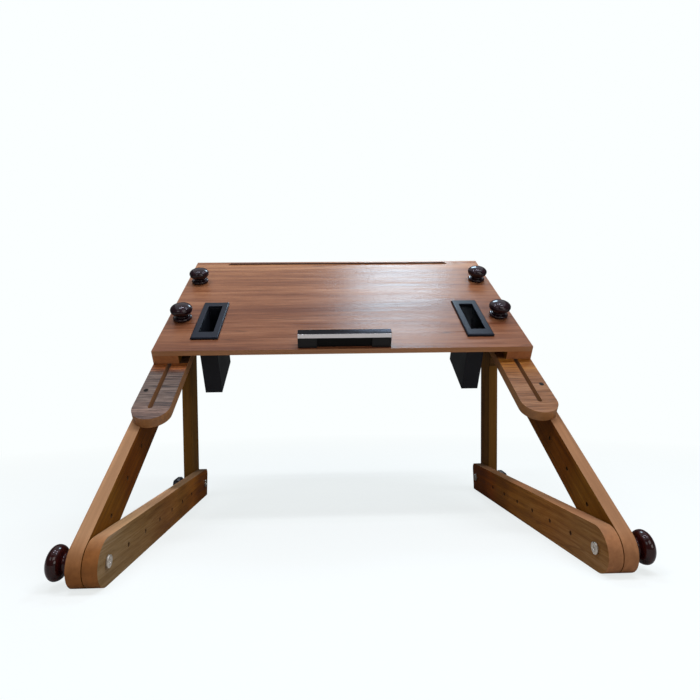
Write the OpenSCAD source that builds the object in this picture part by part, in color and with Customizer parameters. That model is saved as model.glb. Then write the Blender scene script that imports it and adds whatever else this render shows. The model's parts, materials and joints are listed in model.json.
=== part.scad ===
// Folding wooden laptop table: a tilted tabletop on two side frames.
// Each side frame is a triangle of a long bar, a base bar and a rear leg, under a slotted plate.
// Millimetres, +Z up, +X to the right, +Y to the back. The base bars lie on z = 0.

/* [Tabletop] */
// Width of the tabletop, left to right
table_w = 600; // [580:5:640]
// Depth of the tabletop, front edge to rear edge
table_d = 350; // [340:5:380]
// Thickness of the tabletop board
table_t = 9; // [8:0.5:12]
// Width of the spacer rail under each side of the tabletop
rail_w = 40; // [36:1:44]
// Thickness of the spacer rail
rail_t = 14; // [12:0.5:16]

/* [Side frames] */
// Thickness of every bar and leg
bar_t = 16; // [15:0.5:17]
// Width of every bar and leg
bar_w = 51; // [48:1:54]
// Front pivot to rear pivot along the base bar
base_reach = 454; // [448:1:460]
// Front pivot to the crossing with the leg's centre line, along the long bar
leg_reach = 502; // [498:1:506]
// Length of the leg's centre line, rear pivot to the crossing
leg_line = 305; // [300:1:308]
// Front pivot ahead of the tabletop's front edge, along the slope
pivot_ahead = 317; // [310:1:330]
// Spacing of the adjusting holes along the bars
hole_pitch = 58.5; // [56:0.5:60]
// Front pivot to the first adjusting hole
first_hole = 60; // [50:1:64]

/* [Slotted plates] */
// Width of the slotted plate
plate_w = 53; // [52:1:56]
// Thickness of the slotted plate
plate_t = 15; // [13:0.5:16]
// Plate tip ahead of the tabletop's front edge
plate_nose = 133; // [125:1:140]
// Plate end behind the tabletop's front edge
plate_back = 330; // [320:1:335]
// Width of the slot that the clamping bolts run in
slot_w = 6.6; // [6.6:0.1:7.2]

/* [Knobs] */
// Radius of the knob's cap
cap_r = 18.5; // [17:0.5:20]
// Height of the knob
knob_h = 28; // [26:0.5:32]
// Front clamping knobs behind the tabletop's front edge
front_knob_u = 103; // [95:1:110]
// Rear clamping knobs behind the tabletop's front edge
rear_knob_u = 252; // [245:1:260]

/* [Phone pockets] */
// Width of the pocket's frame
pocket_frame_w = 44.5; // [42:0.5:45]
// Length of the pocket's frame, front to back
pocket_frame_d = 123.5; // [120:0.5:130]
// Pocket frame behind the tabletop's front edge
pocket_front_u = 32.5; // [28:0.5:34]
// Depth of the pocket below the tabletop's top face
pocket_depth = 117.5; // [90:0.5:120]

/* [Laptop stopper] */
// Width of the stopper, left to right
stopper_w = 147; // [120:1:180]
// Height of the stopper above the tabletop
stopper_h = 25; // [20:1:30]

/* [Retaining cord] */
// Diameter of the elastic cord
cord_d = 3; // [2.5:0.1:3.4]
// Distance between the cord's two holes
cord_span = 460; // [420:5:480]

/* [Hidden] */
$fn = 48;
fit_gap = 0.3;      // between faces that slide on each other
run_gap = 0.08;     // radial clearance of a turning fit
face_gap = 0.2;     // between a washer and the bar that turns against it

// the triangle of the side frame
tilt = acos((pow(base_reach, 2) + pow(leg_reach, 2) - pow(leg_line, 2)) / (2 * base_reach * leg_reach));
leg_lean = atan2(base_reach - leg_reach * cos(tilt), leg_reach * sin(tilt));
pivot_drop = table_t + rail_t + fit_gap + plate_t + bar_w / 2;
rail_rise = pivot_drop - table_t - rail_t;
back_y = (table_d + pivot_ahead) * cos(tilt) - rail_rise * sin(tilt);
pivot_y = bar_w / 2 - (bar_w / 2 + back_y) / 2;
pivot_z = bar_w / 2;

// layers from the outside of the table to its middle
outer_x = table_w / 2;
long_x = outer_x - bar_t;
bar_gap = 1;
base_x = long_x - bar_gap - bar_t;
washer_t = bar_gap - face_gap;
base_tail = 21;
base_corner_r = 12;
plate_x = outer_x - plate_w;
plate_mid_x = outer_x - plate_w / 2;
slot_offset = 1.5;
slot_x = plate_mid_x + slot_offset;
long_bar_end = 524;

// heights in the table's own frame, whose zero is the tabletop's top face
rail_bottom = -table_t - rail_t;
plate_top = rail_bottom - fit_gap;
plate_bottom = plate_top - plate_t;

// slot, bolts and washers
slot_front_inset = 27;
slot_back_inset = 30;
slot_front_u = slot_front_inset - plate_nose;
slot_back_u = plate_back - slot_back_inset;
bolt_r = 3;
bolt_hole_r = bolt_r + run_gap;
clamp_washer_r = 8;
clamp_washer_t = 1.2;
bolt_head_r = 7.5;
bolt_head_t = 3;
pivot_head_r = 6.8;
pivot_head_t = 2.4;
pivot_washer_r = 9;
hex_socket = 5;
hex_depth = 1.6;
leg_bolt_r = 2.5;
leg_hex_socket = 4;
hole_r = 2.6;
hole_count = 6;
bolt_into_knob = 17;
outer_washer_t = 1.5;
knob_start = outer_washer_t + face_gap;

// knob: ring at the foot, neck, and a domed cap
ring_r = 16;
ring_h = 5.5;
neck_r = 10;
groove_w = 1.5;
groove_h = 2;
neck_h = 4.2;
cap_z = knob_h * 0.66;
dome_h = knob_h - cap_z;
insert_r = 4.5;
insert_h = 14;
arc_steps = 8;

// small knob at the rear pivot
leg_knob_r = 13;
leg_knob_h = 25;
leg_knob_bore = leg_knob_h - 3;
leg_rim_from = 11;
leg_rim_to = 17;
leg_hub_r = 7;
leg_hub_h = 5;
leg_washer_r = 8;
lobe_count = 6;
lobe_cut_r = 4.2;

// strap hinge between the long bar and the leg
knuckle_r = 2.3;
pin_r = 1.1;
leaf_t = 1.2;
leaf_l = 34;
leaf_inset = 0.5;
leaf_w = bar_t - 2 * leaf_inset;
middle_knuckle = 5;

// pockets
pocket_x = 225;
pocket_wall = 2.5;
pocket_w = 29;
pocket_d = 95;
pocket_inset = 15.5;
pocket_u = pocket_front_u + pocket_inset;
pocket_frame_t = 4.5;
pocket_fit = 0.25;
frame_chamfer = 1.5;

// stopper
stopper_u = 4;
stopper_foot_w = 30;
stopper_d = 14.5;
web_inset = 3.3;
strip_t = 1.5;
strip_band = 7.5;
stopper_screw_x = stopper_w / 2 - stopper_foot_w / 2;

// cord
cord_u = table_d - 12;
cord_r = cord_d / 2;
cord_bend = 4.5;
cord_hole_r = 3.3;
cord_lie = cord_r + 0.1;
knot_r = 4.2;
cord_sides = 8;

// screws
screw_r = 1.8;
screw_head_r = 3.6;
screw_head_h = 2.2;
screw_play = 0.05;
plate_screw_l = 34;
plate_screw_u = [-68, 32, 132, 202];
rail_screw_l = 19;
rail_screw_edge = 8;
rail_screw_end = 20;
leaf_screw_l = 12;
leaf_screw_along = [14, 27];
stopper_screw_l = 18;

// ---- frames of reference ----

// origin at the front pivot, +Y along the base bar
module at_pivot() { translate([0, pivot_y, pivot_z]) children(); }

// origin at the front pivot, +Y along the long bar
module along_long_bar() { at_pivot() rotate([tilt, 0, 0]) children(); }

// origin at the tabletop's top front edge, +Y up the slope, +Z square to the board
module on_table() { along_long_bar() translate([0, pivot_ahead, pivot_drop]) children(); }

// origin at the rear pivot, +Z up the leg
module along_leg() { at_pivot() translate([0, base_reach, 0]) rotate([leg_lean, 0, 0]) children(); }

// side -1 is the left frame, drawn as the mirror image of the right one
module on_side(side) { mirror([side < 0 ? 1 : 0, 0, 0]) children(); }

// ---- shared shapes ----

// round rod along X
module rod_x(radius, x_from, x_to) {
    translate([x_from, 0, 0]) rotate([0, 90, 0]) cylinder(r = radius, h = x_to - x_from);
}

// bar with two round ends, +Y along it, its inner face at x_from
module round_bar(length, x_from) {
    translate([x_from, 0, -bar_w / 2]) cube([bar_t, length, bar_w]);
    rod_x(bar_w / 2, x_from, x_from + bar_t);
    translate([0, length, 0]) rod_x(bar_w / 2, x_from, x_from + bar_t);
}

// countersunk wood screw pointing down -Z, its head flush with z = 0
module screw(length, spare = 0) {
    translate([0, 0, -length]) cylinder(r = screw_r + spare, h = length);
    translate([0, 0, -screw_head_h]) cylinder(r1 = screw_r + spare, r2 = screw_head_r + spare, h = screw_head_h);
}

// washer lying on z = 0
module washer(radius, bore, thickness) {
    difference() {
        cylinder(r = radius, h = thickness);
        translate([0, 0, -1]) cylinder(r = bore, h = thickness + 2);
    }
}

// washer on the X axis
module washer_x(radius, bore, x_from, x_to) {
    translate([x_from, 0, 0]) rotate([0, 90, 0]) washer(radius, bore, x_to - x_from);
}

// points of an elliptic arc about [cx, cz]
function arc(cx, cz, rx, rz, from, to) =
    [for (i = [0 : arc_steps]) let (a = from + (to - from) * i / arc_steps) [cx + rx * cos(a), cz + rz * sin(a)]];

// turned mushroom knob standing on z = 0, with a pocket for its threaded insert
module knob_wood() {
    edge = ring_h / 2;
    difference() {
        rotate_extrude() polygon(concat(
            [[0, 0]],
            arc(ring_r - edge, edge, edge, edge, -90, 90),
            arc(neck_r + groove_w, ring_h + groove_h, groove_w, groove_h, 250, 110),
            arc(neck_r, cap_z, cap_r - neck_r, cap_z - ring_h - neck_h, -80, 0),
            arc(0, cap_z, cap_r, dome_h, 6, 90)
        ));
        translate([0, 0, -1]) cylinder(r = insert_r, h = insert_h + 1);
        cylinder(r = bolt_r + 0.5, h = bolt_into_knob + 1);
    }
}

// brass insert that fills the knob's pocket and runs on the bolt
module knob_insert() { washer(insert_r, bolt_hole_r, insert_h); }

// ---- tabletop ----

module pocket_hole() {
    translate([pocket_x - pocket_w / 2 - pocket_fit, pocket_u - pocket_fit, -table_t - 1])
        cube([pocket_w + 2 * pocket_fit, pocket_d + 2 * pocket_fit, table_t + 2]);
}

module clamp_places() {
    for (side = [-1, 1], u = [front_knob_u, rear_knob_u]) translate([side * slot_x, u, 0]) children();
}

module rail_screw_places(side) {
    for (u = [rail_screw_end, table_d / 2, table_d - rail_screw_end])
        translate([side * (outer_x - rail_screw_edge), u, rail_bottom]) children();
}

module stopper_screw_places() {
    for (side = [-1, 1]) translate([side * stopper_screw_x, stopper_u + stopper_d / 2, -table_t]) children();
}

module tabletop() {
    color("saddlebrown") on_table() difference() {
        translate([-outer_x, 0, -table_t]) cube([table_w, table_d, table_t]);
        for (side = [-1, 1]) {
            on_side(side) pocket_hole();
            translate([side * cord_span / 2, cord_u, -table_t - 1]) cylinder(r = cord_hole_r, h = table_t + 2);
            rail_screw_places(side) mirror([0, 0, 1]) screw(rail_screw_l, screw_play);
        }
        clamp_places() translate([0, 0, -table_t - 1]) cylinder(r = bolt_hole_r, h = table_t + 2);
        stopper_screw_places() mirror([0, 0, 1]) screw(stopper_screw_l, screw_play);
    }
}

module side_rail(side) {
    color("peru") on_table() difference() {
        on_side(side) translate([outer_x - rail_w, 0, rail_bottom]) cube([rail_w, table_d, rail_t]);
        clamp_places() translate([0, 0, rail_bottom - 1]) cylinder(r = bolt_hole_r, h = rail_t + 2);
        rail_screw_places(side) mirror([0, 0, 1]) screw(rail_screw_l, screw_play);
    }
}

module rail_screws() {
    color("silver") on_table() for (side = [-1, 1])
        rail_screw_places(side) mirror([0, 0, 1]) screw(rail_screw_l);
}

module clamp_bolts() {
    head_top = plate_bottom - fit_gap - clamp_washer_t;
    color("silver") on_table() clamp_places() {
        translate([0, 0, head_top - bolt_head_t]) cylinder(r = bolt_head_r, h = bolt_head_t);
        translate([0, 0, head_top]) cylinder(r = bolt_r, h = bolt_into_knob - head_top);
    }
}

module clamp_washers() {
    color("silver") on_table() clamp_places()
        translate([0, 0, plate_bottom - fit_gap - clamp_washer_t]) washer(clamp_washer_r, bolt_hole_r, clamp_washer_t);
}

module clamp_knob(side, u) {
    color("maroon") on_table() translate([side * slot_x, u, fit_gap]) knob_wood();
}

module clamp_insert(side, u) {
    color("goldenrod") on_table() translate([side * slot_x, u, fit_gap]) knob_insert();
}

// ---- phone pockets ----

module pocket_frame(side) {
    opening_w = pocket_w - 2 * pocket_wall;
    opening_d = pocket_d - 2 * pocket_wall;
    color("dimgray") on_table() on_side(side) difference() {
        hull() {
            translate([pocket_x - pocket_frame_w / 2, pocket_front_u, 0])
                cube([pocket_frame_w, pocket_frame_d, pocket_frame_t - frame_chamfer]);
            translate([pocket_x - pocket_frame_w / 2 + frame_chamfer, pocket_front_u + frame_chamfer, 0])
                cube([pocket_frame_w - 2 * frame_chamfer, pocket_frame_d - 2 * frame_chamfer, pocket_frame_t]);
        }
        translate([pocket_x - opening_w / 2, pocket_u + pocket_wall, -1])
            cube([opening_w, opening_d, pocket_frame_t + 2]);
    }
}

module pocket_box(side) {
    color("black") on_table() on_side(side) difference() {
        translate([pocket_x - pocket_w / 2, pocket_u, -pocket_depth]) cube([pocket_w, pocket_d, pocket_depth]);
        translate([pocket_x - pocket_w / 2 + pocket_wall, pocket_u + pocket_wall, pocket_wall - pocket_depth])
            cube([pocket_w - 2 * pocket_wall, pocket_d - 2 * pocket_wall, pocket_depth]);
    }
}

// ---- laptop stopper ----

module stopper_body() {
    body_top = stopper_h - strip_t;
    color("black") on_table() difference() {
        union() {
            translate([-stopper_w / 2, stopper_u + web_inset, 0])
                cube([stopper_w, stopper_d - web_inset, body_top]);
            for (side = [-1, 1]) on_side(side)
                translate([stopper_w / 2 - stopper_foot_w, stopper_u, 0])
                    cube([stopper_foot_w, stopper_d, stopper_h - strip_band]);
            translate([-stopper_w / 2, stopper_u + strip_t, stopper_h - strip_band])
                cube([stopper_w, stopper_d - strip_t, body_top - stopper_h + strip_band]);
        }
        stopper_screw_places() mirror([0, 0, 1]) screw(stopper_screw_l, screw_play);
    }
}

// bent metal strip: a top face and a front band
module stopper_strip() {
    color("lightgray") on_table() {
        translate([-stopper_w / 2, stopper_u, stopper_h - strip_t]) cube([stopper_w, stopper_d, strip_t]);
        translate([-stopper_w / 2, stopper_u, stopper_h - strip_band]) cube([stopper_w, strip_t, strip_band]);
    }
}

module stopper_screws() {
    color("silver") on_table() stopper_screw_places() mirror([0, 0, 1]) screw(stopper_screw_l);
}

// ---- elastic retaining cord ----

cord_tail = 1;
cord_end = -table_t - cord_tail;
bend_points = 5;

// half of the route in [x, height], from the knot up the hole and round to the surface
cord_half = concat(
    [[cord_span / 2, cord_end], [cord_span / 2, cord_lie - cord_bend - 2]],
    [for (i = [0 : bend_points]) let (a = 90 * i / bend_points)
        [cord_span / 2 - cord_bend + cord_bend * cos(a), cord_lie - cord_bend + cord_bend * sin(a)]],
    [for (part = [0.9, 0.6, 0.3]) [cord_span / 2 * part, cord_lie]]
);
cord_route = concat(
    cord_half,
    [for (i = [len(cord_half) - 1 : -1 : 0]) [-cord_half[i][0], cord_half[i][1]]]
);

function heading(route, i) =
    let (before = route[max(i - 1, 0)], after = route[min(i + 1, len(route) - 1)])
    atan2(after[1] - before[1], after[0] - before[0]);

// ring of points square to the route at point i
function ring_at(route, i) =
    [for (s = [0 : cord_sides - 1]) let (
        a = 360 * s / cord_sides,
        turn = heading(route, i),
        out = cord_r * cos(a)
    ) [route[i][0] - out * sin(turn), cord_u + cord_r * sin(a), route[i][1] + out * cos(turn)]];

module retaining_cord() {
    rings = len(cord_route);
    points = [for (i = [0 : rings - 1]) each ring_at(cord_route, i)];
    walls = [for (i = [0 : rings - 2], s = [0 : cord_sides - 1]) let (n = (s + 1) % cord_sides)
        [i * cord_sides + s, i * cord_sides + n, (i + 1) * cord_sides + n, (i + 1) * cord_sides + s]];
    first_cap = [for (s = [cord_sides - 1 : -1 : 0]) s];
    last_cap = [for (s = [0 : cord_sides - 1]) (rings - 1) * cord_sides + s];
    color("saddlebrown") on_table() polyhedron(points, concat([first_cap], walls, [last_cap]));
}

module cord_knots() {
    color("saddlebrown") on_table() for (side = [-1, 1])
        translate([side * cord_span / 2, cord_u, cord_end - knot_r]) intersection() {
            sphere(r = knot_r);
            translate([-knot_r, -knot_r, -2 * knot_r]) cube([2 * knot_r, 2 * knot_r, 3 * knot_r - 0.6]);
        }
}

// ---- slotted plates ----

module plate_screw_places() {
    for (u = plate_screw_u) translate([outer_x - bar_t / 2, u, plate_top]) children();
}

module slide_plate(side) {
    nose = plate_w / 2;
    color("sienna") on_table() on_side(side) difference() {
        union() {
            translate([plate_x, nose - plate_nose, plate_bottom])
                cube([plate_w, plate_back + plate_nose - plate_w, plate_t]);
            for (u = [nose - plate_nose, plate_back - nose])
                translate([plate_mid_x, u, plate_bottom]) cylinder(r = nose, h = plate_t);
        }
        translate([slot_x - slot_w / 2, slot_front_u, plate_bottom - 1])
            cube([slot_w, slot_back_u - slot_front_u, plate_t + 2]);
        for (u = [slot_front_u, slot_back_u])
            translate([slot_x, u, plate_bottom - 1]) cylinder(r = slot_w / 2, h = plate_t + 2);
        plate_screw_places() screw(plate_screw_l, screw_play);
    }
}

module plate_screws(side) {
    color("silver") on_table() on_side(side) plate_screw_places() screw(plate_screw_l);
}

// ---- long bars ----

module hole_row(x_from) {
    for (i = [0 : hole_count - 1])
        translate([0, first_hole + i * hole_pitch, 0]) rod_x(hole_r, x_from - 1, x_from + bar_t + 1);
}

module long_bar(side) {
    color("peru") on_side(side) difference() {
        along_long_bar() difference() {
            round_bar(long_bar_end, long_x);
            rod_x(bolt_hole_r, long_x - 1, outer_x + 1);
            hole_row(long_x);
        }
        on_table() plate_screw_places() screw(plate_screw_l, screw_play);
        at_hinge() leaf_screw_places() screw(leaf_screw_l, screw_play);
    }
}

module pivot_bolt(side) {
    head_from = base_x - face_gap - pivot_head_t;
    color("silver") on_side(side) at_pivot() difference() {
        union() {
            rod_x(pivot_head_r, head_from, head_from + pivot_head_t);
            rod_x(bolt_r, head_from + pivot_head_t, outer_x + knob_start + bolt_into_knob);
        }
        rod_x_hex(hex_socket, head_from - 1, head_from + hex_depth);
    }
}

// hexagonal rod along X, for the socket in a bolt's head
module rod_x_hex(across, x_from, x_to) {
    translate([x_from, 0, 0]) rotate([0, 90, 0]) cylinder(d = across / cos(30), h = x_to - x_from, $fn = 6);
}

module pivot_washers(side) {
    color("silver") on_side(side) at_pivot() {
        washer_x(pivot_washer_r, bolt_hole_r, long_x - washer_t, long_x);
        washer_x(pivot_washer_r, bolt_hole_r, outer_x, outer_x + outer_washer_t);
    }
}

module foot_knob(side) {
    color("maroon") on_side(side) at_pivot() translate([outer_x + knob_start, 0, 0]) rotate([0, 90, 0]) knob_wood();
}

module foot_insert(side) {
    color("goldenrod") on_side(side) at_pivot() translate([outer_x + knob_start, 0, 0])
        rotate([0, 90, 0]) knob_insert();
}

// ---- base bars ----

// bar with a round front end and a square rear end, whose top corner is rounded
module base_blank() {
    end = base_reach + base_tail;
    rod_x(bar_w / 2, base_x, base_x + bar_t);
    hull() {
        translate([base_x, 0, -bar_w / 2]) cube([bar_t, end, bar_w / 2]);
        translate([base_x, 0, 0]) cube([bar_t, end - base_corner_r, bar_w / 2]);
        translate([0, end - base_corner_r, bar_w / 2 - base_corner_r]) rod_x(base_corner_r, base_x, base_x + bar_t);
    }
}

module base_bar(side) {
    color("peru") on_side(side) at_pivot() difference() {
        base_blank();
        rod_x(bolt_hole_r, base_x - 1, base_x + bar_t + 1);
        translate([0, base_reach, 0]) rod_x(leg_bolt_r + run_gap, base_x - 1, base_x + bar_t + 1);
        hole_row(base_x);
    }
}

module leg_bolt(side) {
    color("silver") on_side(side) at_pivot() translate([0, base_reach, 0]) difference() {
        union() {
            rod_x(pivot_head_r, base_x - pivot_head_t, base_x);
            rod_x(leg_bolt_r, base_x, base_x + bar_t - 0.1);
        }
        rod_x_hex(leg_hex_socket, base_x - pivot_head_t - 1, base_x - pivot_head_t + hex_depth);
    }
}

// ---- rear legs ----

// where the leg's front edge meets the long bar's underside, along the long bar
apex = 180 - tilt - (90 - leg_lean);
hinge_reach = leg_reach - (bar_w / 2) / sin(apex) - (bar_w / 2) / tan(apex);

// origin on the hinge pin, +Y along the long bar
module at_hinge() {
    along_long_bar() translate([0, hinge_reach - knuckle_r / tan(apex / 2), -bar_w / 2 - knuckle_r]) children();
}

// origin on the hinge pin, turned so that the leg's front face lies at z = knuckle_r
module along_lower_leaf() { at_hinge() rotate([apex, 0, 0]) mirror([0, 0, 1]) children(); }

// the leaf runs from the pin towards -Y and lies against z = knuckle_r
module leaf_blank() {
    translate([long_x + leaf_inset, -leaf_l, knuckle_r - leaf_t]) cube([leaf_w, leaf_l, leaf_t]);
}

module leaf_screw_places() {
    for (along = leaf_screw_along)
        translate([outer_x - bar_t / 2, -along, knuckle_r - leaf_t]) mirror([0, 0, 1]) children();
}

module hinge_upper_leaf(side) {
    knuckle = (leaf_w - middle_knuckle) / 2 - face_gap;
    near = long_x + leaf_inset;
    far = near + leaf_w;
    color("darkgray") on_side(side) at_hinge() difference() {
        union() {
            leaf_blank();
            rod_x(knuckle_r, near, near + knuckle);
            rod_x(knuckle_r, far - knuckle, far);
        }
        translate([near + knuckle, -knuckle_r - 1, -knuckle_r - 1])
            cube([far - near - 2 * knuckle, 2 * knuckle_r + 2, 2 * knuckle_r + 2]);
        rod_x(pin_r + 0.02, near - 1, far + 1);
        leaf_screw_places() screw(leaf_screw_l, screw_play);
    }
}

module hinge_pin(side) {
    color("silver") on_side(side) at_hinge() rod_x(pin_r, long_x + leaf_inset, outer_x - leaf_inset);
}

module hinge_upper_screws(side) {
    color("silver") on_side(side) at_hinge() leaf_screw_places() screw(leaf_screw_l);
}

module hinge_lower_leaf(side) {
    near = outer_x - bar_t / 2 - middle_knuckle / 2;
    color("darkgray") on_side(side) along_lower_leaf() difference() {
        union() {
            difference() {
                leaf_blank();
                translate([long_x, -knuckle_r - 1, -knuckle_r - 1]) cube([bar_t, 2 * knuckle_r + 2, 2 * knuckle_r + 2]);
            }
            translate([near, -knuckle_r - 2, knuckle_r - leaf_t]) cube([middle_knuckle, knuckle_r + 2, leaf_t]);
            rod_x(knuckle_r, near, near + middle_knuckle);
        }
        rod_x(pin_r + run_gap, long_x - 1, outer_x + 1);
        leaf_screw_places() screw(leaf_screw_l, screw_play);
    }
}

module hinge_lower_screws(side) {
    color("silver") on_side(side) along_lower_leaf() leaf_screw_places() screw(leaf_screw_l);
}

// the leg's top is cut parallel to the long bar's underside, and bears on it
module rear_leg(side) {
    color("peru") on_side(side) difference() {
        along_leg() {
            translate([long_x, -bar_w / 2, 0]) cube([bar_t, bar_w, leg_line]);
            rod_x(bar_w / 2, long_x, outer_x);
        }
        along_long_bar() translate([long_x - 1, 0, -bar_w / 2 - face_gap]) cube([bar_t + 2, 2 * leg_reach, 4 * bar_w]);
        along_leg() rod_x(leg_bolt_r + run_gap, long_x - 1, outer_x + 1);
        along_lower_leaf() leaf_screw_places() screw(leaf_screw_l, screw_play);
    }
}

module leg_stud(side) {
    color("silver") on_side(side) along_leg() rod_x(leg_bolt_r, long_x, outer_x + knob_start + leg_knob_bore - 1);
}

module leg_washers(side) {
    color("silver") on_side(side) along_leg() {
        washer_x(leg_washer_r, leg_bolt_r + run_gap, long_x - washer_t, long_x);
        washer_x(leg_washer_r, leg_bolt_r + run_gap, outer_x, outer_x + outer_washer_t);
    }
}

// lobed knob: a hub, a cone out to the rim, and a cone in to the crown
module leg_knob(side) {
    color("black") on_side(side) along_leg() translate([outer_x + knob_start, 0, 0]) rotate([0, 90, 0]) difference() {
        rotate_extrude() polygon([
            [0, 0], [leg_hub_r, 0], [leg_hub_r, leg_hub_h], [leg_knob_r, leg_rim_from],
            [leg_knob_r, leg_rim_to], [leg_hub_r, leg_knob_h], [0, leg_knob_h]
        ]);
        for (i = [1 : lobe_count]) rotate([0, 0, 360 * i / lobe_count])
            translate([leg_knob_r + lobe_cut_r / 2, 0, leg_hub_h]) cylinder(r = lobe_cut_r, h = leg_knob_h);
        translate([0, 0, -1]) cylinder(r = leg_bolt_r + run_gap, h = leg_knob_bore + 1);
    }
}

// ---- the pieces ----

tabletop();
side_rail(-1);  // side_rail_left
side_rail(1);  // side_rail_right
rail_screws();
pocket_frame(-1);  // pocket_frame_left
pocket_frame(1);  // pocket_frame_right
pocket_box(-1);  // pocket_box_left
pocket_box(1);  // pocket_box_right
stopper_body();
stopper_strip();
stopper_screws();
clamp_bolts();
clamp_washers();
retaining_cord();
cord_knots();
clamp_knob(-1, front_knob_u);  // clamp_knob_front_left
clamp_knob(1, front_knob_u);  // clamp_knob_front_right
clamp_knob(-1, rear_knob_u);  // clamp_knob_rear_left
clamp_knob(1, rear_knob_u);  // clamp_knob_rear_right
clamp_insert(-1, front_knob_u);  // clamp_insert_front_left
clamp_insert(1, front_knob_u);  // clamp_insert_front_right
clamp_insert(-1, rear_knob_u);  // clamp_insert_rear_left
clamp_insert(1, rear_knob_u);  // clamp_insert_rear_right
slide_plate(-1);  // slide_plate_left
slide_plate(1);  // slide_plate_right
plate_screws(-1);  // plate_screws_left
plate_screws(1);  // plate_screws_right
long_bar(-1);  // long_bar_left
long_bar(1);  // long_bar_right
pivot_bolt(-1);  // pivot_bolt_left
pivot_bolt(1);  // pivot_bolt_right
pivot_washers(-1);  // pivot_washers_left
pivot_washers(1);  // pivot_washers_right
hinge_upper_leaf(-1);  // hinge_upper_leaf_left
hinge_upper_leaf(1);  // hinge_upper_leaf_right
hinge_pin(-1);  // hinge_pin_left
hinge_pin(1);  // hinge_pin_right
hinge_upper_screws(-1);  // hinge_upper_screws_left
hinge_upper_screws(1);  // hinge_upper_screws_right
base_bar(-1);  // base_bar_left
base_bar(1);  // base_bar_right
leg_bolt(-1);  // leg_bolt_left
leg_bolt(1);  // leg_bolt_right
rear_leg(-1);  // rear_leg_left
rear_leg(1);  // rear_leg_right
hinge_lower_leaf(-1);  // hinge_lower_leaf_left
hinge_lower_leaf(1);  // hinge_lower_leaf_right
hinge_lower_screws(-1);  // hinge_lower_screws_left
hinge_lower_screws(1);  // hinge_lower_screws_right
leg_stud(-1);  // leg_stud_left
leg_stud(1);  // leg_stud_right
leg_washers(-1);  // leg_washers_left
leg_washers(1);  // leg_washers_right
leg_knob(-1);  // leg_knob_left
leg_knob(1);  // leg_knob_right
foot_knob(-1);  // foot_knob_left
foot_knob(1);  // foot_knob_right
foot_insert(-1);  // foot_insert_left
foot_insert(1);  // foot_insert_right
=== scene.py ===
"""Folding wooden laptop table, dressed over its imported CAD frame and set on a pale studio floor."""

import json
import math

import bmesh
import bpy
from mathutils import Matrix, Vector


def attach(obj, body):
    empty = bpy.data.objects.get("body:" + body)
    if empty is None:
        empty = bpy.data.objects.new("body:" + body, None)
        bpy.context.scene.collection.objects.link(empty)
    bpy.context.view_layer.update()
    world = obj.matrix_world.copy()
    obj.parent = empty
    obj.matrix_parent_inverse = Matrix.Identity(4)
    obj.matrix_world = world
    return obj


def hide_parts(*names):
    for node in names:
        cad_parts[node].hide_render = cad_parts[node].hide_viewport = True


bl_info = {
    "name": "Folding Laptop Table",
    "version": (1, 0, 0),
    "blender": (4, 5, 0),
    "location": "View3D > Sidebar > Laptop Table",
    "description": "Dresses a folding wooden laptop table and sets its stage",
    "category": "Object",
}

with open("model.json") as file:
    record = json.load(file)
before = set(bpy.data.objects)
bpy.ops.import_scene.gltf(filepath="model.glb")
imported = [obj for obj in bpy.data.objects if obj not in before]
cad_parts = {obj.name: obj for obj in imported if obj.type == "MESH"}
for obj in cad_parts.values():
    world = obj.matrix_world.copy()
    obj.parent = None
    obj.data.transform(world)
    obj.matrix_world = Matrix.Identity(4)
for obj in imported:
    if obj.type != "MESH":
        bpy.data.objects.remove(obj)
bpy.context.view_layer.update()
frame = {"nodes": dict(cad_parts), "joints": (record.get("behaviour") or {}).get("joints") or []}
SIDES = ("left", "right")
SIGN = {"left": -1, "right": 1}
MM = 0.001


# ---- places and sizes of the object ----

def joint(name):
    """A joint of the frame, by its name."""
    return next(j for j in frame["joints"] if j["name"] == name)


# read from the frame: the way up the slope and square to it, and two places
SLOPE = Vector(joint("frame_slide_left")["axis"])
TILT = math.atan2(SLOPE.z, SLOPE.y)
SQUARE = Vector((0, -SLOPE.z, SLOPE.y))
FRONT_PIVOT = Vector(joint("base_fold_right")["pos_m"])
FRONT_KNOB = Vector(joint("clamp_knob_turn_front_right")["pos_m"])

# sizes of the CAD model that the frame doesn't give; X is across, and U is up the slope from the front edge
FRONT_KNOB_U = 103 * MM
BOARD_T = 9 * MM
RAIL_T = 14 * MM
BAR_W = 51 * MM
BAR_X = 292 * MM
LEG_LEAN = math.radians(9.8)
PLATE_GAP = 0.3 * MM
KNOB_STAND = 0.3 * MM
FOOT_KNOB_X = 301.7 * MM
HOLES = 6
FIRST_HOLE = 60 * MM
HOLE_PITCH = 58.5 * MM
HOLE_R = 2.5 * MM
HOLE_RIM_R = 3.1 * MM
RAIL_SCREW = 19 * MM
RAIL_SCREWS_U = (20 * MM, 175 * MM, 330 * MM)
PLATE_SCREW = 34 * MM
PLATE_SCREWS_U = (-68 * MM, 32 * MM, 132 * MM, 202 * MM)
STOPPER_WEB = 43.5 * MM
STOPPER_SCREW = 18 * MM
STOPPER_SCREW_X = 58.5 * MM
STOPPER_SCREW_U = 11.25 * MM

# the elastic cord: its holes, how high its middle lies, its bends and its ends under the board
CORD_X = 230 * MM
CORD_U = 338 * MM
CORD_LIE = 1.6 * MM
CORD_BEND = 4.5 * MM
CORD_END = 1.4 * MM

FRONT_EDGE = FRONT_KNOB - SLOPE * FRONT_KNOB_U
FRONT_EDGE.x = 0.0
NOSE_ALONG = FRONT_PIVOT.y * math.cos(TILT) + FRONT_PIVOT.z * math.sin(TILT) - BAR_W / 2

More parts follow.
